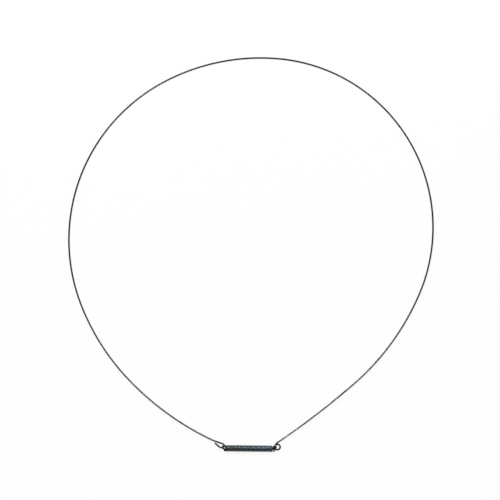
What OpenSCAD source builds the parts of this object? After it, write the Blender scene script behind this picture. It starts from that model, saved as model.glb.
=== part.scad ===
// Door seal clamp ring: a spring steel wire bent into a ring, closed by a small tension spring.
// It lies flat: the spring's underside and the far side of the ring rest on z = 0.

/* [Ring] */
// Diameter of the clamp wire
wire_d = 1.6; // [1.4:0.05:1.7]
// Height of the ring, from the spring's axis to the middle of the wire at its highest point
ring_h = 371.4; // [360:0.1:382]
// Sideways distance from the spring's middle to the ring's highest point
top_x = 10.5; // [4:0.5:16]
// Radius of the slightly flattened top
top_r = 196; // [185:1:210]
// Turn of the top on the left of its highest point
top_left_turn = 28; // [24:1:32]
// Turn of the top on the right of its highest point
top_right_turn = 5; // [2:1:8]
// Radius of the left side
left_r = 170; // [164:1:176]
// Turn of the left side
left_turn = 83; // [78:1:88]
// Radius of the left flank, below the left side
left_flank_r = 216; // [195:1:235]
// Turn of the left flank
left_flank_turn = 22; // [16:1:26]
// Radius of the right side
right_r = 161; // [155:1:167]
// Turn of the right side
right_turn = 108; // [102:1:112]
// Radius of the right flank, below the right side
right_flank_r = 236; // [215:1:255]
// Turn of the right flank
right_flank_turn = 26; // [20:1:30]

/* [Left eye] */
// Width of the long eye at its round end, between the middles of the wire
long_eye_w = 3.8; // [3.6:0.1:4.6]
// Length of the long eye's upper strand
long_eye_len = 7.9; // [7:0.1:9.5]
// Slope of the long eye's upper strand, below level
long_eye_slope = 18; // [12:1:22]
// Radius of the slight bend where the ring runs into the long eye
neck_r = 12; // [6:1:16]
// Turn of the long eye's round end
bight_turn = 162; // [156:1:168]
// Length of the level stretch below the round end
lower_strand = 0.8; // [0.4:0.1:1.6]
// Angle at which the wire then turns back up
tip_turn = 41; // [36:1:46]
// Radius of that turn
tip_r = 2.9; // [2.2:0.1:3.6]
// Direction in which the spring's end turn pulls on the long eye
long_eye_pull = 149; // [130:1:160]

/* [Right eye] */
// Diameter of the round eye, to the middle of the wire
round_eye_d = 5.1; // [4.8:0.05:5.4]
// Radius of the easy bend by which the ring runs into the round eye
entry_r = 6.5; // [4.5:0.5:8]
// Direction from the eye's middle to where that bend ends
entry_end = 165; // [145:1:170]
// Turn of the last stretch, which leans back to pass behind the ring's wire
closing_turn = 140; // [120:5:160]
// Direction in which the eye pulls on the spring's end turn
round_eye_pull = -23; // [-36:1:-15]

/* [Tension spring] */
// Outer diameter of the spring
spring_od = 6.3; // [5.8:0.1:6.8]
// Diameter of the spring's wire
spring_wire = 1.2; // [1:0.05:1.3]
// Length of the body, over its outer turns
body_len = 46.6; // [36:0.1:56]
// Slope of the spring's axis: how far its right end lies lower, as an angle
spring_slope = 0.6; // [0:0.1:1.5]
// Smallest gap between two turns of the body
turn_gap = 0.05; // [0.03:0.01:0.1]
// Extra gap before the last turn on the right, which the eye has drawn out a little
drawn_gap = 0.6; // [0:0.05:0.9]
// How much wider the left end turn is, which the long eye has pulled open
left_spread = 0.2; // [0:0.05:0.6]
// Turn of the free end beyond the left end turn
left_end_turn = 105; // [60:5:150]
// Lean of the left free end, to the right
left_end_lean = 4; // [0:1:8]
// Turn of the free end beyond the right end turn
right_end_turn = 105; // [60:5:150]
// Lean of the right free end, to the left
right_end_lean = 18; // [10:1:20]

/* [Fits] */
// Gap between an eye's wire and each turn of the spring that it is seated between
seat_gap = 0.03; // [0.02:0.01:0.08]
// Gap between the ends of the clamp wire and the wire they come back to
tip_gap = 0.08; // [0.04:0.01:0.2]

/* [Hidden] */

wire_colour = [0.40, 0.40, 0.39];
spring_colour = [0.16, 0.19, 0.22];

// Each bend stops a hair short of the next, and a short core inside makes them one piece of wire
joint_gap = 0.01;
core_share = 0.97;
core_len = 0.2;
function trim(r) = joint_gap / 2 / r * 180 / PI;

// How finely the wires are drawn: round the wire, round a small bend, and round the ring, whose
// bends are all wider than ring_bend_r
round_sides = 24;
small_bend_steps = 48;
ring_steps = 360;
ring_bend_r = 50;

// Spring: its middle line swings between points at the top and the bottom of the flat plane
turn_r = (spring_od - spring_wire) / 2;
closed_len = body_len - spring_wire - drawn_gap;
turns = floor(closed_len / (spring_wire + turn_gap));
pitch = closed_len / turns;
half_r = norm([turn_r, pitch / 4]);
seat = (wire_d + spring_wire) / 2 + seat_gap;

along = ahead(-spring_slope);
across = left_of(-spring_slope);
first_top = -(body_len - spring_wire) / 2 * along + turn_r * across;
last_top = (body_len - spring_wire) / 2 * along + turn_r * across;
first_bottom = first_top - pitch / 2 * along - 2 * turn_r * across;

// One of the two points where circles about a and b meet, on the left of the way from a to b
function meet(a, ra, b, rb) =
    let (d = norm(b - a), u = (b - a) / d, part = (d * d + ra * ra - rb * rb) / (2 * d))
    a + part * u + sqrt(ra * ra - part * part) * [-u.y, u.x];

// End turns: each swings about its hinge until the eye's bight just fits between it and the body.
// pull is the way from the end turn's top to the middle of the bight.
long_r = long_eye_w / 2;
long_pull = (long_r - seat) * ahead(long_eye_pull);
left_top = meet(first_bottom, 2 * half_r + left_spread, first_top - long_pull, long_r + seat);
long_mid = left_top + long_pull;

round_r = round_eye_d / 2;
round_pull = (round_r - seat) * ahead(round_eye_pull);
right_bottom = last_top + pitch / 2 * along - 2 * turn_r * across;
right_top = meet(last_top - round_pull, round_r + seat, right_bottom, 2 * half_r);
round_mid = right_top + round_pull;

// Where the free ends would come to after a full half turn
left_end = left_top + 2 * half_r * ahead(left_end_lean - 90);
right_end = right_top + 2 * half_r * ahead(-right_end_lean - 90);

// A place on the wire is [x, y, heading]. An arc turns left if its turn is above 0.
function unit(v) = v / norm(v);
function wrap(a) = a - 360 * round(a / 360);
function left_of(h) = [-sin(h), cos(h)];
function ahead(h) = [cos(h), sin(h)];
function place(p, h) = [p.x, p.y, h];
function spot(s) = [s[0], s[1]];
function run(s, length) = place(spot(s) + length * ahead(s[2]), s[2]);
function centre(s, r, turn) = spot(s) + sign(turn) * r * left_of(s[2]);
function bend(s, r, turn) =
    place(centre(s, r, turn) - sign(turn) * r * left_of(s[2] + turn), s[2] + turn);

// The arc from s that runs smoothly into the circle of radius r about mid, which turns left.
// side is 1 for an arc that turns left and -1 for one that turns right. Gives [radius, turn].
function lead(s, mid, r, side) =
    let (n = side * left_of(s[2]), d = spot(s) - mid,
         big = (r * r - d * d) / (2 * (d * n + side * r)),
         hub = spot(s) + big * n,
         touch = unit(side * sign(big) * (mid - hub)))
    [abs(big), wrap(atan2(touch.y, touch.x) + 90 - s[2])];

// Left half of the ring, from its highest point round to the long eye
top_point = [top_x, ring_h];
l0 = place(top_point, 180);
l1 = bend(l0, top_r, top_left_turn);
l2 = bend(l1, left_r, left_turn);
l3 = bend(l2, left_flank_r, left_flank_turn);

// Long eye: neck, upper strand, bight, a level stretch, a bend back up, and the tip, which ends
// where its corner meets the line of the upper strand
strand_h = 360 - long_eye_slope;
upper_end = place(long_mid + long_r * left_of(strand_h), strand_h);
neck = run(upper_end, -long_eye_len);
neck_mid = spot(neck) + neck_r * left_of(strand_h);
left_lead = lead(l3, neck_mid, neck_r, 1);
l4 = bend(l3, left_lead[0], left_lead[1]);
neck_turn = wrap(strand_h - l4[2]);
lower_start = bend(upper_end, long_r, -bight_turn);
lower_end = run(lower_start, lower_strand);
tip_start = bend(lower_end, tip_r, -tip_turn);
closing = bight_turn + tip_turn - 180;
tip_depth = long_r - (spot(tip_start) - long_mid) * left_of(strand_h);
tip_len = (tip_depth - wire_d / 2 * (1 + cos(closing)) - tip_gap) / sin(closing);

// Right half of the ring, from its highest point round to the round eye
r0 = place(top_point, 0);
r1 = bend(r0, top_r, -top_right_turn);
r2 = bend(r1, right_r, -right_turn);
r3 = bend(r2, right_flank_r, -right_flank_turn);
entry_mid = round_mid - (entry_r - round_r) * ahead(entry_end);
right_lead = lead(r3, entry_mid, entry_r, -1);
r4 = bend(r3, right_lead[0], right_lead[1]);

// Round eye: an easy bend in, half a turn in the flat plane, then a turn that leans back until
// it passes behind the wire
entry_turn = wrap(entry_end + 90 - r4[2]);
r5 = bend(r4, entry_r, entry_turn);
r6 = bend(r5, round_r, 180);
eye_lean = asin((wire_d + tip_gap) / (round_r * (1 - cos(closing_turn))));

// How the whole lies: tipped about the spring's axis until the top of the ring rests too
lift = half_r + spring_wire / 2;
tip = asin((lift - wire_d / 2) / ring_h);
mid_x = (centre(l1, left_r, 1).x - left_r + centre(r1, right_r, -1).x + right_r) / 2;
mid_y = (ring_h + wire_d / 2 - turn_r - spring_wire / 2) / 2;

module as_it_lies() {
    translate([-mid_x, -mid_y, lift]) rotate([-tip, 0, 0]) children();
}

// Wire of diameter d bent to radius r about the Z axis, from the X axis on
module bent_wire(r, turn, d) {
    rotate([0, 0, trim(r)])
        rotate_extrude(angle = turn - 2 * trim(r), $fn = r > ring_bend_r ? ring_steps : small_bend_steps)
        translate([r, 0]) circle(d = d, $fn = round_sides);
}

// Half a turn of wire, or less, from a towards b. side is 1 in front of the flat plane, which is
// above it as the part lies, and -1 behind it.
module half_turn(a, b, side, d, turn = 180) {
    mid = (a + b) / 2;
    r = norm(a - b) / 2;
    translate([mid.x, mid.y, 0]) rotate([0, 0, atan2(a.y - b.y, a.x - b.x)])
        rotate([side * 90, 0, 0]) bent_wire(r, turn, d);
}

module cross_core(p, d) {
    translate([p.x, p.y, 0]) cylinder(d = core_share * d, h = core_len, center = true, $fn = round_sides);
}

module wire_core(s) {
    translate([s[0], s[1], 0]) rotate([0, 90, s[2]])
        cylinder(d = core_share * wire_d, h = core_len, center = true, $fn = round_sides);
}

module wire_arc(s, r, turn) {
    c = centre(s, r, turn);
    translate([c.x, c.y, 0]) rotate([0, 0, s[2] - 90 * sign(turn) + min(turn, 0)])
        bent_wire(r, abs(turn), wire_d);
}

module wire_run(s, length) {
    translate([s[0], s[1], 0]) rotate([0, 90, s[2]])
        translate([0, 0, joint_gap / 2]) cylinder(d = wire_d, h = length - joint_gap, $fn = round_sides);
}

module left_half() {
    wire_arc(l0, top_r, top_left_turn);
    wire_arc(l1, left_r, left_turn);
    wire_arc(l2, left_flank_r, left_flank_turn);
    wire_arc(l3, left_lead[0], left_lead[1]);
    for (s = [l1, l2, l3, l4]) wire_core(s);
}

module long_eye() {
    wire_arc(l4, neck_r, neck_turn);
    wire_run(neck, long_eye_len);
    wire_arc(upper_end, long_r, -bight_turn);
    wire_run(lower_start, lower_strand);
    wire_arc(lower_end, tip_r, -tip_turn);
    wire_run(tip_start, tip_len);
    for (s = [neck, upper_end, lower_start, lower_end, tip_start]) wire_core(s);
}

module right_half() {
    wire_arc(r0, top_r, -top_right_turn);
    wire_arc(r1, right_r, -right_turn);
    wire_arc(r2, right_flank_r, -right_flank_turn);
    wire_arc(r3, right_lead[0], right_lead[1]);
    for (s = [r0, r1, r2, r3, r4]) wire_core(s);
}

module round_eye() {
    wire_arc(r4, entry_r, entry_turn);
    wire_arc(r5, round_r, 180);
    for (s = [r5, r6]) wire_core(s);
    translate([r6[0], r6[1], 0]) rotate([0, 0, r6[2]]) rotate([-eye_lean, 0, 0])
        translate([0, round_r, 0]) rotate([0, 0, -90]) bent_wire(round_r, closing_turn, wire_d);
}

module clamp_wire() {
    color(wire_colour) as_it_lies() {
        left_half();
        long_eye();
        right_half();
        round_eye();
    }
}

// Tops and bottoms of the body's turns, one after the other
function body_point(i) =
    i == 2 * turns + 1 ? last_top :
    first_bottom + i * pitch / 2 * along + (i % 2 == 0 ? 0 : 2 * turn_r) * across;

module spring_body() {
    for (i = [0 : 2 * turns])
        half_turn(body_point(i), body_point(i + 1), i % 2 == 0 ? -1 : 1, spring_wire);
    for (i = [0 : 2 * turns + 1]) cross_core(body_point(i), spring_wire);
}

module left_end_turn() {
    half_turn(left_top, first_bottom, 1, spring_wire);
    half_turn(left_top, left_end, -1, spring_wire, left_end_turn);
    cross_core(left_top, spring_wire);
}

module right_end_turn() {
    half_turn(last_top, right_bottom, 1, spring_wire);
    half_turn(right_bottom, right_top, -1, spring_wire);
    half_turn(right_top, right_end, 1, spring_wire, right_end_turn);
    cross_core(right_bottom, spring_wire);
    cross_core(right_top, spring_wire);
}

module tension_spring() {
    color(spring_colour) as_it_lies() {
        spring_body();
        left_end_turn();
        right_end_turn();
    }
}

clamp_wire();
tension_spring();
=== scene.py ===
# Door seal clamp ring: a bent spring wire closed by a small tension spring, on a white table.
import math

import bmesh
import bpy
from mathutils import Matrix, Vector


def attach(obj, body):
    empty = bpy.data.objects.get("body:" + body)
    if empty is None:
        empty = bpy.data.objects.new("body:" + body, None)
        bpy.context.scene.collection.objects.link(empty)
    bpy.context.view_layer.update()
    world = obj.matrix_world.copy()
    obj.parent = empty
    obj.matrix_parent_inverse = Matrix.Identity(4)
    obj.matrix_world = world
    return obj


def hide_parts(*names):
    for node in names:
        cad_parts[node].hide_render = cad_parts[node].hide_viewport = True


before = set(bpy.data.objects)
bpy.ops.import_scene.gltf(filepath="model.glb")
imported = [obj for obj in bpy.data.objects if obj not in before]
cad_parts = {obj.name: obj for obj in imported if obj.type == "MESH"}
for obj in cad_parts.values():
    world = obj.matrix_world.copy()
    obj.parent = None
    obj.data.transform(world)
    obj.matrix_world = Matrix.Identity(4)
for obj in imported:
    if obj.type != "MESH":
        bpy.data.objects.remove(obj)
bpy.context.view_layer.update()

MM = 0.001
UP = Vector((0, 0, 1))

# The picture: how much of the table it shows, and the point at its middle
PICTURE_PX = 500
MM_PER_PX = 0.9517
PICTURE_MIDDLE = Vector((-0.91, 4.18, 0)) * MM
LENS_MM = 200
SENSOR_MM = 36

# Ring, in millimetres and degrees, from its highest point both ways
WIRE_D = 1.6
RING_H = 371.4
TOP_X = 10.5
TOP_R = 196
TOP_LEFT_TURN = 28
TOP_RIGHT_TURN = 5
LEFT_R = 170
LEFT_TURN = 83
LEFT_FLANK_R = 216
LEFT_FLANK_TURN = 22
RIGHT_R = 161
RIGHT_TURN = 108
RIGHT_FLANK_R = 236
RIGHT_FLANK_TURN = 26

# Eyes at the two ends of the wire
LONG_EYE_W = 3.8
LONG_EYE_LEN = 7.9
LONG_EYE_SLOPE = 18
LONG_EYE_PULL = 149
NECK_R = 12
BIGHT_TURN = 162
LOWER_STRAND = 0.8
TIP_TURN = 41
TIP_R = 2.9
ROUND_EYE_D = 5.1
ROUND_EYE_PULL = -23
ENTRY_R = 6.5
ENTRY_END = 165
CLOSING_TURN = 140

# Tension spring
SPRING_OD = 6.3
SPRING_WIRE = 1.2
BODY_LEN = 46.6
SPRING_SLOPE = 0.6
LEFT_SPREAD = 0.2
LEAST_PITCH = 1.25
DRAWN_GAP = 0.6
LEFT_END_TURN = 105
LEFT_END_LEAN = 4
RIGHT_END_TURN = 105
RIGHT_END_LEAN = -18
SEAT_GAP = 0.03
TIP_GAP = 0.08

# How finely the round wires are drawn
WIRE_SIDES = 32
SPRING_SIDES = 20
RING_STEP = 0.75
SMALL_STEP = 7.5
SPRING_STEP = 15
CUT_EDGE = 0.16
CUT_SEGMENTS = 3
CUT_PROFILE = 0.5
WIRE_MAP = "along_and_round"

# Worked out: the spring's turns and the seats of the two eyes
COIL_R = (SPRING_OD - SPRING_WIRE) / 2
COILED_LEN = BODY_LEN - SPRING_WIRE - DRAWN_GAP
TURNS = math.floor(COILED_LEN / LEAST_PITCH)
PITCH = COILED_LEN / TURNS
SWING = 2 * math.hypot(COIL_R, PITCH / 4)
SEAT = (WIRE_D + SPRING_WIRE) / 2 + SEAT_GAP
LONG_R = LONG_EYE_W / 2
ROUND_R = ROUND_EYE_D / 2


def ahead(heading):
    """The flat direction of a heading in degrees."""
    return Vector((math.cos(math.radians(heading)), math.sin(math.radians(heading)), 0))


def left_of(heading):
    """The flat direction square to a heading, on its left."""
    return ahead(heading + 90)


def wrap(angle):
    """The same direction as angle, between -180 and 180 degrees."""
    return angle - 360 * round(angle / 360)


def meet(a, radius_a, b, radius_b):
    """Where circles about a and b meet, on the left of the way from a to b."""
    apart = (b - a).length
    way = (b - a) / apart
    along = (apart**2 + radius_a**2 - radius_b**2) / (2 * apart)
    return a + along * way + math.sqrt(radius_a**2 - along**2) * Vector((-way.y, way.x, 0))


def lead(spot, heading, middle, radius, side):
    """Radius and turn of the arc that runs smoothly into a circle about middle."""
    inward = side * left_of(heading)
    offset = spot - middle
    bend_r = (radius**2 - offset.dot(offset)) / (2 * (offset.dot(inward) + side * radius))
    hub = spot + bend_r * inward
    touch = side * math.copysign(1, bend_r) * (middle - hub)
    turn = math.degrees(math.atan2(touch.y, touch.x)) + 90 - heading
    return abs(bend_r), wrap(turn)


def body_points():
    """The bottoms and tops of the spring's closed turns in the flat plane, in order."""
    first = FIRST_TOP - PITCH / 2 * ALONG - 2 * COIL_R * ACROSS
    points = [first + i * PITCH / 2 * ALONG + 2 * COIL_R * (i % 2) * ACROSS for i in range(2 * TURNS + 1)]
    return points + [LAST_TOP]


# The closed body lies nearly level, between its first and last tops
ALONG = ahead(-SPRING_SLOPE)
ACROSS = left_of(-SPRING_SLOPE)
FIRST_TOP = -(BODY_LEN - SPRING_WIRE) / 2 * ALONG + COIL_R * ACROSS
LAST_TOP = (BODY_LEN - SPRING_WIRE) / 2 * ALONG + COIL_R * ACROSS


# Where the end turns swing to, so that each eye's bight just fits beside the body
FIRST_BOTTOM = body_points()[0]
LONG_PULL = (LONG_R - SEAT) * ahead(LONG_EYE_PULL)
LEFT_TOP = meet(FIRST_BOTTOM, SWING + LEFT_SPREAD, FIRST_TOP - LONG_PULL, LONG_R + SEAT)
LEFT_END = LEFT_TOP + SWING * ahead(LEFT_END_LEAN - 90)
LONG_MID = LEFT_TOP + LONG_PULL
ROUND_PULL = (ROUND_R - SEAT) * ahead(ROUND_EYE_PULL)
RIGHT_BOTTOM = LAST_TOP + PITCH / 2 * ALONG - 2 * COIL_R * ACROSS
RIGHT_TOP = meet(LAST_TOP - ROUND_PULL, ROUND_R + SEAT, RIGHT_BOTTOM, SWING)
RIGHT_END = RIGHT_TOP + SWING * ahead(RIGHT_END_LEAN - 90)
ROUND_MID = RIGHT_TOP + ROUND_PULL


class Wire:
    """A round wire drawn out bend by bend. It knows where its tip is and which way it heads."""

    def __init__(self, diameter, sides, spot, heading=None):
        """Starts with a circle at spot, square to a flat heading, or lying flat if there is none."""
        self.mesh = bmesh.new()
        self.sides = sides
        self.diameter = diameter
        self.along = self.mesh.verts.layers.float.new("along")
        self.around = self.mesh.verts.layers.float.new("around")
        turned = Matrix.Identity(4)
        if heading is not None:
            turned = Matrix.Rotation(math.radians(heading), 4, "Z") @ Matrix.Rotation(math.pi / 2, 4, "Y")
        bmesh.ops.create_circle(
            self.mesh, segments=sides, radius=diameter / 2, matrix=Matrix.Translation(spot) @ turned
        )
        for number, vert in enumerate(self.mesh.verts):
            vert[self.around] = number / sides
        self.start = list(self.mesh.edges)
        self.ends = []
        self.go_back(spot, heading)

    def go_back(self, spot, heading=None):
        """Goes on from the first circle, for the way out on its other side."""
        self.tip = list(self.start)
        self.spot = spot.copy()
        self.heading = heading
        self.length = 0

    def mark(self, step_length, first_new):
        """Writes on the new circles how far along the wire they are."""
        self.mesh.verts.ensure_lookup_table()
        for number, vert in enumerate(self.mesh.verts[first_new:]):
            vert[self.along] = self.length + step_length * (number // self.sides + 1)

    def swing(self, hub, axis, turn, step, back=False):
        """Bends the tip about an axis through hub. back counts the length below nought."""
        steps = max(1, math.ceil(turn / step))
        first_new = len(self.mesh.verts)
        made = bmesh.ops.spin(
            self.mesh, geom=self.tip, cent=hub, axis=axis, angle=math.radians(turn), steps=steps
        )
        self.tip = [part for part in made["geom_last"] if isinstance(part, bmesh.types.BMEdge)]
        length = (self.spot - hub).length * math.radians(turn) * (-1 if back else 1)
        self.mark(length / steps, first_new)
        self.length += length
        self.spot = hub + Matrix.Rotation(math.radians(turn), 3, axis) @ (self.spot - hub)

    def bend(self, radius, turn, step, back=False):
        """Bends on in the flat plane, to the left if turn is above 0."""
        side = math.copysign(1, turn)
        hub = self.spot + side * radius * left_of(self.heading)
        self.swing(hub, side * UP, abs(turn), step, back)
        self.heading += turn

    def run(self, length, back=False):
        """Goes straight on."""
        first_new = len(self.mesh.verts)
        made = bmesh.ops.extrude_edge_only(self.mesh, edges=self.tip)["geom"]
        verts = [part for part in made if isinstance(part, bmesh.types.BMVert)]
        bmesh.ops.translate(self.mesh, verts=verts, vec=length * ahead(self.heading))
        ring = set(verts)
        edges = [part for part in made if isinstance(part, bmesh.types.BMEdge)]
        self.tip = [edge for edge in edges if set(edge.verts) <= ring]
        signed = -length if back else length
        self.mark(signed, first_new)
        self.length += signed
        self.spot = self.spot + length * ahead(self.heading)

    def half_turn(self, end, side, turn=180, back=False):
        """Swings towards end in front of the flat plane, or behind it if side is -1."""
        hub = (self.spot + end) / 2
        outward = (self.spot - hub).normalized()
        self.swing(hub, side * outward.cross(UP), turn, SPRING_STEP, back)

    def cut(self):
        """Closes the tip with a sheared face whose edge is a little rounded."""
        bmesh.ops.contextual_create(self.mesh, geom=self.tip)
        self.ends.append(self.tip)

    def finish(self, name, lie):
        """Rounds the cut edges, writes the UV map in metres and makes the object."""
        rims = [edge for tip in self.ends for edge in tip]
        bmesh.ops.bevel(
            self.mesh, geom=rims, offset=CUT_EDGE, offset_type="OFFSET", segments=CUT_SEGMENTS,
            profile=CUT_PROFILE, affect="EDGES", material=-1,
        )
        self.put_in_order()
        bmesh.ops.recalc_face_normals(self.mesh, faces=self.mesh.faces)
        self.write_uv()
        bmesh.ops.transform(self.mesh, matrix=lie, verts=self.mesh.verts)
        data = bpy.data.meshes.new(name)
        self.mesh.to_mesh(data)
        self.mesh.free()
        piece = bpy.data.objects.new(name, data)
        bpy.context.scene.collection.objects.link(piece)
        return piece

    def put_in_order(self):
        """Gives the faces a fixed order, because spin makes them in a new one each run."""
        self.mesh.verts.index_update()
        faces = sorted(self.mesh.faces, key=lambda face: sorted(vert.index for vert in face.verts))
        for number, face in enumerate(faces):
            face.index = number
        self.mesh.faces.sort()

    def write_uv(self):
        """UV: metres along the wire from its first circle, and metres round it."""
        uv = self.mesh.loops.layers.uv.new(WIRE_MAP)
        girth = math.pi * self.diameter * MM
        for face in self.mesh.faces:
            face.smooth = len(face.verts) <= 4
            shares = [loop.vert[self.around] for loop in face.loops]
            crosses_seam = max(shares) - min(shares) > 0.5
            for loop, share in zip(face.loops, shares):
                wound = share + 1 if crosses_seam and share < 0.5 else share
                loop[uv].uv = (loop.vert[self.along] * MM, wound * girth)


def spring():
    """The tension spring: a closed body between two end turns that are opened for the eyes."""
    wire = Wire(SPRING_WIRE, SPRING_SIDES, LEFT_TOP)
    wire.half_turn(LEFT_END, -1, LEFT_END_TURN, back=True)
    wire.cut()
    wire.go_back(LEFT_TOP)
    wire.half_turn(FIRST_BOTTOM, 1)
    for number, point in enumerate(body_points()[1:]):
        wire.half_turn(point, 1 if number % 2 else -1)
    wire.half_turn(RIGHT_BOTTOM, 1)
    wire.half_turn(RIGHT_TOP, -1)
    wire.half_turn(RIGHT_END, 1, RIGHT_END_TURN)
    wire.cut()
    return wire


def left_half(wire):
    """From the ring's highest point round the left side to the neck of the long eye."""
    wire.bend(TOP_R, TOP_LEFT_TURN, RING_STEP, back=True)
    wire.bend(LEFT_R, LEFT_TURN, RING_STEP, back=True)
    wire.bend(LEFT_FLANK_R, LEFT_FLANK_TURN, RING_STEP, back=True)
    strand = 360 - LONG_EYE_SLOPE
    strand_end = LONG_MID + LONG_R * left_of(strand)
    neck_mid = strand_end - LONG_EYE_LEN * ahead(strand) + NECK_R * left_of(strand)
    radius, turn = lead(wire.spot, wire.heading, neck_mid, NECK_R, 1)
    wire.bend(radius, turn, RING_STEP, back=True)
    return wrap(strand - wire.heading)


def long_eye(wire, neck_turn):
    """Neck, upper strand, bight, lower strand, a bend back up and the tip."""
    wire.bend(NECK_R, neck_turn, SMALL_STEP, back=True)
    wire.run(LONG_EYE_LEN, back=True)
    strand_side = left_of(wire.heading)
    wire.bend(LONG_R, -BIGHT_TURN, SMALL_STEP, back=True)
    wire.run(LOWER_STRAND, back=True)
    wire.bend(TIP_R, -TIP_TURN, SMALL_STEP, back=True)
    closing = math.radians(BIGHT_TURN + TIP_TURN - 180)
    depth = LONG_R - (wire.spot - LONG_MID).dot(strand_side)
    rise = depth - WIRE_D / 2 * (1 + math.cos(closing)) - TIP_GAP
    wire.run(rise / math.sin(closing), back=True)
    wire.cut()


def right_half(wire):
    """From the ring's highest point round the right side to the round eye."""
    wire.bend(TOP_R, -TOP_RIGHT_TURN, RING_STEP)
    wire.bend(RIGHT_R, -RIGHT_TURN, RING_STEP)
    wire.bend(RIGHT_FLANK_R, -RIGHT_FLANK_TURN, RING_STEP)
    entry_mid = ROUND_MID - (ENTRY_R - ROUND_R) * ahead(ENTRY_END)
    radius, turn = lead(wire.spot, wire.heading, entry_mid, ENTRY_R, -1)
    wire.bend(radius, turn, RING_STEP)


def round_eye(wire):
    """An easy bend in, half a turn in the flat plane, then a turn that leans back behind the wire."""
    wire.bend(ENTRY_R, wrap(ENTRY_END + 90 - wire.heading), SMALL_STEP)
    wire.bend(ROUND_R, 180, SMALL_STEP)
    closing = math.radians(CLOSING_TURN)
    lean = math.asin((WIRE_D + TIP_GAP) / ROUND_R / (1 - math.cos(closing)))
    tangent = ahead(wire.heading)
    leaned = Matrix.Rotation(-lean, 3, tangent)
    hub = wire.spot + leaned @ (ROUND_R * left_of(wire.heading))
    wire.swing(hub, leaned @ UP, CLOSING_TURN, SMALL_STEP)
    wire.cut()
    return wire.length


def clamp_wire():
    """The ring with an eye at each end, one length of wire. Also gives where its right end is."""
    top = Vector((TOP_X, RING_H, 0))
    wire = Wire(WIRE_D, WIRE_SIDES, top, 180)
    neck_turn = left_half(wire)
    long_eye(wire, neck_turn)
    wire.go_back(top, 0)
    right_half(wire)
    return wire, round_eye(wire)


def lying():
    """How the flat drawing lies on the table: tipped so that the top of the ring rests too."""
    lift = SWING / 2 + SPRING_WIRE / 2
    tip = math.asin((lift - WIRE_D / 2) / RING_H)
    left_most = TOP_X + (TOP_R - LEFT_R) * left_of(TOP_LEFT_TURN).x - LEFT_R
    right_most = TOP_X + (TOP_R - RIGHT_R) * left_of(-TOP_RIGHT_TURN).x + RIGHT_R
    middle_x = (left_most + right_most) / 2
    middle_y = (RING_H + WIRE_D / 2 - COIL_R - SPRING_WIRE / 2) / 2
    move = Matrix.Translation(Vector((-middle_x, -middle_y, lift)))
    return Matrix.Scale(MM, 4) @ move @ Matrix.Rotation(-tip, 4, "X")


# Where the Mix node has its colour sockets, which share their names with its other sockets
MIX_FACTOR = 0
MIX_A = 6
MIX_B = 7
MIX_RESULT = 2


class Nodes:
    """Adds nodes to a tree and joins them, one call for each node."""

    def __init__(self, tree):
        self.tree = tree

    def put(self, socket, part):
        """Joins an output to a socket, or sets the socket to a value."""
        if isinstance(part, bpy.types.NodeSocket):
            self.tree.links.new(part, socket)
        else:
            socket.default_value = part

    def add(self, kind, **settings):
        """A node with the given settings. Its inputs are given by name."""
        inputs = settings.pop("inputs", {})
        node = self.tree.nodes.new(kind)
        for name, value in settings.items():
            setattr(node, name, value)
        for name, part in inputs.items():
            self.put(node.inputs[name], part)
        return node

    def part(self, vector, axis):
        """One axis of a vector."""
        return self.add("ShaderNodeSeparateXYZ", inputs={"Vector": vector}).outputs[axis]

    def value(self, operation, a, b):
        """A sum on two values or outputs."""
        node = self.add("ShaderNodeMath", operation=operation)
        for socket, part in zip(node.inputs, (a, b)):
            self.put(socket, part)
        return node.outputs["Value"]

    def blend(self, factor, a, b):
        """A colour between a and b."""
        node = self.add("ShaderNodeMix", data_type="RGBA")
        self.put(node.inputs[MIX_FACTOR], factor)
        self.put(node.inputs[MIX_A], a)
        self.put(node.inputs[MIX_B], b)
        return node.outputs[MIX_RESULT]

    def smooth_range(self, value, low, high, to_low=0.0, to_high=1.0):
        """A value eased from to_low at low to to_high at high."""
        inputs = {"Value": value, "From Min": low, "From Max": high, "To Min": to_low, "To Max": to_high}
        node = self.add("ShaderNodeMapRange", interpolation_type="SMOOTHSTEP", inputs=inputs)
        return node.outputs["Result"]


def group(name, vector, values, outputs):
    """A new node group with one vector input, and plain values in and out."""
    tree = bpy.data.node_groups.new(name, "ShaderNodeTree")
    tree.interface.new_socket(vector, in_out="INPUT", socket_type="NodeSocketVector")
    for socket in values:
        tree.interface.new_socket(socket, in_out="INPUT", socket_type="NodeSocketFloat")
    for socket in outputs:
        tree.interface.new_socket(socket, in_out="OUTPUT", socket_type="NodeSocketFloat")
    entry = tree.nodes.new("NodeGroupInput").outputs
    leave = tree.nodes.new("NodeGroupOutput").inputs
    return Nodes(tree), entry, leave


# Marks that both wires have: a depth in metres, then settings and levels of the noise
LINE_DEPTH = 0.00002
LINE_DETAIL = 3.0
LINES_FROM = 0.35
LINES_FULL = 0.65
PATCH_DETAIL = 4.0
PATCH_RAGGED = 0.6
PATCHES_UNCOVERED = 0.8
PATCHES_SPAN = 0.6
PATCH_EDGE = 0.15
SPECK_FINENESS = 24.0
SPECK_DETAIL = 2.0
SPECKS_FROM = 0.62
SPECKS_FULL = 0.72


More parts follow.
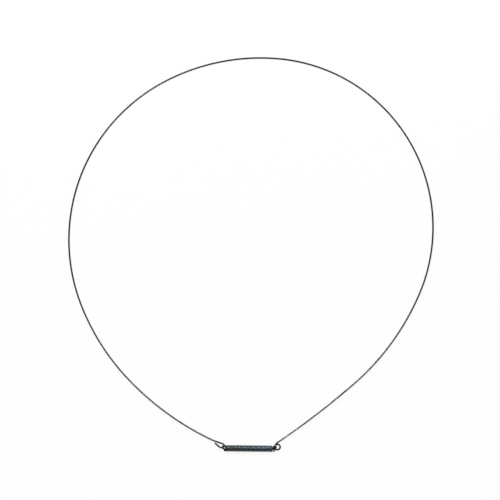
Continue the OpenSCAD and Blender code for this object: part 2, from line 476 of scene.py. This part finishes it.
def drawing_lines_group():
    """Fine lines that the drawing die leaves along a wire, on the map of metres along and round it."""
    nodes, entry, leave = group("drawing_lines", "Map", ["Line width", "Line length"], ["Lines"])
    along = nodes.value("DIVIDE", nodes.part(entry["Map"], "X"), entry["Line length"])
    across = nodes.value("DIVIDE", nodes.part(entry["Map"], "Y"), entry["Line width"])
    place = nodes.add("ShaderNodeCombineXYZ", inputs={"X": along, "Y": across}).outputs["Vector"]
    fine = nodes.add("ShaderNodeTexNoise", inputs={"Vector": place, "Scale": 1.0, "Detail": LINE_DETAIL})
    nodes.put(leave["Lines"], nodes.smooth_range(fine.outputs["Fac"], LINES_FROM, LINES_FULL))
    return nodes.tree


def handled_patches_group():
    """Uneven patches of oxide and handling, soft at the edges, in object space."""
    nodes, entry, leave = group("handled_patches", "Place", ["Patch size", "Cover"], ["Patches", "Specks"])
    scale = nodes.value("DIVIDE", 1.0, entry["Patch size"])
    large = nodes.add(
        "ShaderNodeTexNoise",
        inputs={"Vector": entry["Place"], "Scale": scale, "Detail": PATCH_DETAIL, "Roughness": PATCH_RAGGED},
    )
    low = nodes.value("SUBTRACT", PATCHES_UNCOVERED, nodes.value("MULTIPLY", entry["Cover"], PATCHES_SPAN))
    high = nodes.value("ADD", low, PATCH_EDGE)
    nodes.put(leave["Patches"], nodes.smooth_range(large.outputs["Fac"], low, high))
    fine_scale = nodes.value("MULTIPLY", scale, SPECK_FINENESS)
    small = nodes.add(
        "ShaderNodeTexNoise",
        inputs={"Vector": entry["Place"], "Scale": fine_scale, "Detail": SPECK_DETAIL},
    )
    nodes.put(leave["Specks"], nodes.smooth_range(small.outputs["Fac"], SPECKS_FROM, SPECKS_FULL))
    return nodes.tree


DRAWING_LINES = drawing_lines_group()
HANDLED_PATCHES = handled_patches_group()
NO_EDGE_SHEEN = (0, 0, 0, 1)


def steel(name):
    """A new bare steel material, its nodes and its shader."""
    material = bpy.data.materials.new(name)
    material.use_nodes = True
    shader = material.node_tree.nodes["Principled BSDF"]
    shader.inputs["Metallic"].default_value = 1.0
    shader.inputs["Specular Tint"].default_value = NO_EDGE_SHEEN
    return material, Nodes(material.node_tree), shader


def drawn_lines(nodes, wire_map, width, length):
    """The drawing lines on a wire, from 0 between them to 1 on them."""
    inputs = {"Map": wire_map, "Line width": width, "Line length": length}
    return nodes.add("ShaderNodeGroup", node_tree=DRAWING_LINES, inputs=inputs).outputs["Lines"]


def handled_marks(nodes, place, size, cover):
    """The patches and specks of handling on a wire."""
    inputs = {"Place": place, "Patch size": size, "Cover": cover}
    return nodes.add("ShaderNodeGroup", node_tree=HANDLED_PATCHES, inputs=inputs).outputs


def surface(nodes, shader, colour, rough, lines, relief):
    """Joins the colour, the roughness and the relief of the lines to the shader."""
    bump = nodes.add("ShaderNodeBump", inputs={"Strength": relief, "Distance": LINE_DEPTH, "Height": lines})
    nodes.put(shader.inputs["Base Color"], colour)
    nodes.put(shader.inputs["Roughness"], rough)
    nodes.put(shader.inputs["Normal"], bump.outputs["Normal"])


def paint(piece, material):
    """Gives a piece its one material."""
    piece.data.materials.clear()
    piece.data.materials.append(material)


# Finish of the ring's wire: colours are linear, lengths and places are metres
WIRE_GREY = (0.036, 0.035, 0.033, 1)
# painted light: a paler grey for the lower half of the ring, standing in for the brighter light it gets
WIRE_PAINTED_LIGHT_GREY = (0.112, 0.109, 0.104, 1)
WIRE_LINE_GREY = (0.14, 0.136, 0.13, 1)
WIRE_OXIDE = (0.032, 0.031, 0.029, 1)
# painted shade: near black for the round eye's closing turn
WIRE_PAINTED_SHADE_EYE = (0.02, 0.021, 0.022, 1)
WIRE_ROUGHNESS = 0.33
WIRE_PAINTED_LIGHT_FULL_BELOW = -0.1
WIRE_PAINTED_LIGHT_GONE_ABOVE = 0.04
WIRE_LINE_WIDTH = 0.00008
WIRE_LINE_LENGTH = 0.02
WIRE_LINE_SHARE = 0.4
WIRE_LINE_RELIEF = 0.25
WIRE_PATCH_SIZE = 0.012
WIRE_PATCH_COVER = 0.45
WIRE_PATCH_DULL = 0.1
WIRE_SPECK_DULL = 0.1
PAINTED_SHADE_EYE_START = 0.011
PAINTED_SHADE_EYE_FADE = 0.004


def ring_steel(right_end):
    """Drawn spring steel, with painted light that makes the lower half of the ring paler, and painted shade
    that darkens the round eye where it closes.
    """
    material, nodes, shader = steel("drawn_ring_steel")
    wire_map = nodes.add("ShaderNodeUVMap", uv_map=WIRE_MAP).outputs["UV"]
    place = nodes.add("ShaderNodeTexCoord").outputs["Object"]
    lines = drawn_lines(nodes, wire_map, WIRE_LINE_WIDTH, WIRE_LINE_LENGTH)
    handled = handled_marks(nodes, place, WIRE_PATCH_SIZE, WIRE_PATCH_COVER)
    # painted light: the ring is painted paler where it runs low in Y, towards the spring, as if lit more
    # strongly there
    painted_light = nodes.smooth_range(nodes.part(place, "Y"), WIRE_PAINTED_LIGHT_FULL_BELOW, WIRE_PAINTED_LIGHT_GONE_ABOVE, 1.0, 0.0)
    colour = nodes.blend(painted_light, WIRE_GREY, WIRE_PAINTED_LIGHT_GREY)
    colour = nodes.blend(nodes.value("MULTIPLY", lines, WIRE_LINE_SHARE), colour, WIRE_LINE_GREY)
    colour = nodes.blend(handled["Patches"], colour, WIRE_OXIDE)
    # painted shade: the closing turn of the round eye, tucked behind the wire, is painted near black
    eye_shade_start = right_end - PAINTED_SHADE_EYE_START
    eye_shade = nodes.smooth_range(nodes.part(wire_map, "X"), eye_shade_start, eye_shade_start + PAINTED_SHADE_EYE_FADE)
    colour = nodes.blend(eye_shade, colour, WIRE_PAINTED_SHADE_EYE)
    dulled = nodes.value("MULTIPLY", handled["Patches"], WIRE_PATCH_DULL)
    specked = nodes.value("MULTIPLY", handled["Specks"], WIRE_SPECK_DULL)
    rough = nodes.value("ADD", nodes.value("ADD", dulled, specked), WIRE_ROUGHNESS)
    surface(nodes, shader, colour, rough, lines, WIRE_LINE_RELIEF)
    return material


# Finish of the spring: oil-blackened steel that turns bluer towards its right end
SPRING_BLACK = (0.112, 0.13, 0.14, 1)
SPRING_BLUE = (0.134, 0.163, 0.205, 1)
SPRING_WORN = (0.185, 0.2, 0.215, 1)
# painted shade: near black for the spring's end turns
SPRING_PAINTED_SHADE_END = (0.035, 0.04, 0.044, 1)
SPRING_ROUGHNESS = 0.42
SPRING_BLUE_FROM = -0.01
SPRING_BLUE_FULL = 0.02
SPRING_LINE_WIDTH = 0.0001
SPRING_LINE_LENGTH = 0.008
SPRING_LINE_SHARE = 0.35
SPRING_LINE_RELIEF = 0.2
SPRING_PATCH_SIZE = 0.004
SPRING_PATCH_COVER = 0.35
SPRING_PATCH_SHARE = 0.4
SPRING_PATCH_DULL = 0.15
PAINTED_SHADE_LEFT_END = 0.014
PAINTED_SHADE_RIGHT_END = 0.03
PAINTED_SHADE_FADE = 0.012


def spring_steel(right_end):
    """Blackened spring steel with a blue cast, brighter lines where the oxide is thin, and painted shade
    that darkens both ends where the eyes hook through the end turns.
    """
    material, nodes, shader = steel("blackened_spring_steel")
    wire_map = nodes.add("ShaderNodeUVMap", uv_map=WIRE_MAP).outputs["UV"]
    place = nodes.add("ShaderNodeTexCoord").outputs["Object"]
    lines = drawn_lines(nodes, wire_map, SPRING_LINE_WIDTH, SPRING_LINE_LENGTH)
    handled = handled_marks(nodes, place, SPRING_PATCH_SIZE, SPRING_PATCH_COVER)
    bluer = nodes.smooth_range(nodes.part(place, "X"), SPRING_BLUE_FROM, SPRING_BLUE_FULL)
    colour = nodes.blend(bluer, SPRING_BLACK, SPRING_BLUE)
    colour = nodes.blend(nodes.value("MULTIPLY", lines, SPRING_LINE_SHARE), colour, SPRING_WORN)
    patched = nodes.value("MULTIPLY", handled["Patches"], SPRING_PATCH_SHARE)
    colour = nodes.blend(patched, colour, SPRING_BLACK)
    along = nodes.part(wire_map, "X")
    # painted shade: both ends of the spring, where the eyes hook through the end turns, are painted near
    # black
    left_shade = nodes.smooth_range(along, PAINTED_SHADE_LEFT_END, PAINTED_SHADE_LEFT_END + PAINTED_SHADE_FADE, 1.0, 0.0)
    right_shade_from = right_end - PAINTED_SHADE_RIGHT_END
    right_shade = nodes.smooth_range(along, right_shade_from - PAINTED_SHADE_FADE, right_shade_from)
    colour = nodes.blend(nodes.value("MAXIMUM", left_shade, right_shade), colour, SPRING_PAINTED_SHADE_END)
    dulled = nodes.value("MULTIPLY", handled["Patches"], SPRING_PATCH_DULL)
    rough = nodes.value("ADD", dulled, SPRING_ROUGHNESS)
    surface(nodes, shader, colour, rough, lines, SPRING_LINE_RELIEF)
    return material


# Studio: a white table that glows for the camera, bright walls, a dimmer ceiling and two lamps
TABLE_SIZE = 60
TABLE_WHITE = (0.9, 0.9, 0.9, 1)
GLOW_WHITE = (1, 1, 1, 1)
TABLE_GLOW_SHARE = 0.92
WALL_STRENGTH = 1.0
CEILING_STRENGTH = 0.06
WALL_TOP = 0.1
CEILING_FROM = 0.45
LAMP_ELEVATION = 52
LAMP_DISTANCE = 2.6
LAMP_SIZE = 0.45
LEFT_LAMP_AZIMUTH = 124
LEFT_LAMP_WATTS = 48
RIGHT_LAMP_AZIMUTH = 51
RIGHT_LAMP_WATTS = 27


def white_table():
    """The table top. It shows as white, and keeps a part of the object's shadow."""
    mesh = bmesh.new()
    bmesh.ops.create_grid(mesh, x_segments=1, y_segments=1, size=TABLE_SIZE / 2)
    data = bpy.data.meshes.new("table_top")
    mesh.to_mesh(data)
    mesh.free()
    table = bpy.data.objects.new("table_top", data)
    bpy.context.scene.collection.objects.link(table)
    material = bpy.data.materials.new("white_table")
    material.use_nodes = True
    nodes = Nodes(material.node_tree)
    nodes.tree.nodes.clear()
    rays = nodes.add("ShaderNodeLightPath").outputs
    seen = nodes.value("MAXIMUM", rays["Is Camera Ray"], rays["Is Glossy Ray"])
    seen = nodes.value("MAXIMUM", seen, rays["Is Transmission Ray"])
    share = nodes.value("MULTIPLY", seen, TABLE_GLOW_SHARE)
    matt = nodes.add("ShaderNodeBsdfDiffuse", inputs={"Color": TABLE_WHITE}).outputs["BSDF"]
    glow = nodes.add("ShaderNodeEmission", inputs={"Color": GLOW_WHITE, "Strength": 1.0}).outputs["Emission"]
    mixed = nodes.add("ShaderNodeMixShader", inputs={"Fac": share})
    nodes.put(mixed.inputs[1], matt)
    nodes.put(mixed.inputs[2], glow)
    nodes.add("ShaderNodeOutputMaterial", inputs={"Surface": mixed.outputs["Shader"]})
    paint(table, material)


def room():
    """Bright walls and a dimmer ceiling, as the light that is all round the table."""
    world = bpy.data.worlds.new("studio_room")
    world.use_nodes = True
    bpy.context.scene.world = world
    nodes = Nodes(world.node_tree)
    way = nodes.add("ShaderNodeTexCoord").outputs["Generated"]
    strength = nodes.smooth_range(
        nodes.part(way, "Z"), WALL_TOP, CEILING_FROM, WALL_STRENGTH, CEILING_STRENGTH
    )
    background = world.node_tree.nodes["Background"].inputs
    nodes.put(background["Color"], GLOW_WHITE)
    nodes.put(background["Strength"], strength)


def softbox(name, azimuth, watts):
    """A square lamp that looks down at the object from an azimuth, counted from +X."""
    lamp = bpy.data.lights.new(name, "AREA")
    lamp.shape = "SQUARE"
    lamp.size = LAMP_SIZE
    lamp.energy = watts
    holder = bpy.data.objects.new(name, lamp)
    elevation = math.radians(LAMP_ELEVATION)
    out = ahead(azimuth) * math.cos(elevation) + UP * math.sin(elevation)
    holder.location = out * LAMP_DISTANCE
    holder.rotation_mode = "QUATERNION"
    holder.rotation_quaternion = out.to_track_quat("Z", "Y")
    bpy.context.scene.collection.objects.link(holder)


def camera():
    """Looks straight down, from far enough that the picture has the photograph's scale."""
    data = bpy.data.cameras.new("camera")
    data.lens = LENS_MM
    data.sensor_width = SENSOR_MM
    eye = bpy.data.objects.new("camera", data)
    shown = PICTURE_PX * MM_PER_PX * MM
    eye.location = PICTURE_MIDDLE + UP * (shown * LENS_MM / SENSOR_MM)
    bpy.context.scene.collection.objects.link(eye)
    bpy.context.scene.camera = eye


def dress():
    """Makes both wires and puts them in place of the CAD nodes."""
    lie = lying()
    ring, right_end = clamp_wire()
    ring_piece = ring.finish("ring_wire", lie)
    paint(ring_piece, ring_steel(right_end * MM))
    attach(ring_piece, "root")
    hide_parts("clamp_wire")
    coil = spring()
    spring_piece = coil.finish("coil_spring", lie)
    paint(spring_piece, spring_steel(coil.length * MM))
    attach(spring_piece, "root")
    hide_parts("tension_spring")


bpy.context.scene.view_settings.view_transform = "Standard"
camera()
dress()
white_table()
room()
softbox("left_softbox", LEFT_LAMP_AZIMUTH, LEFT_LAMP_WATTS)
softbox("right_softbox", RIGHT_LAMP_AZIMUTH, RIGHT_LAMP_WATTS)
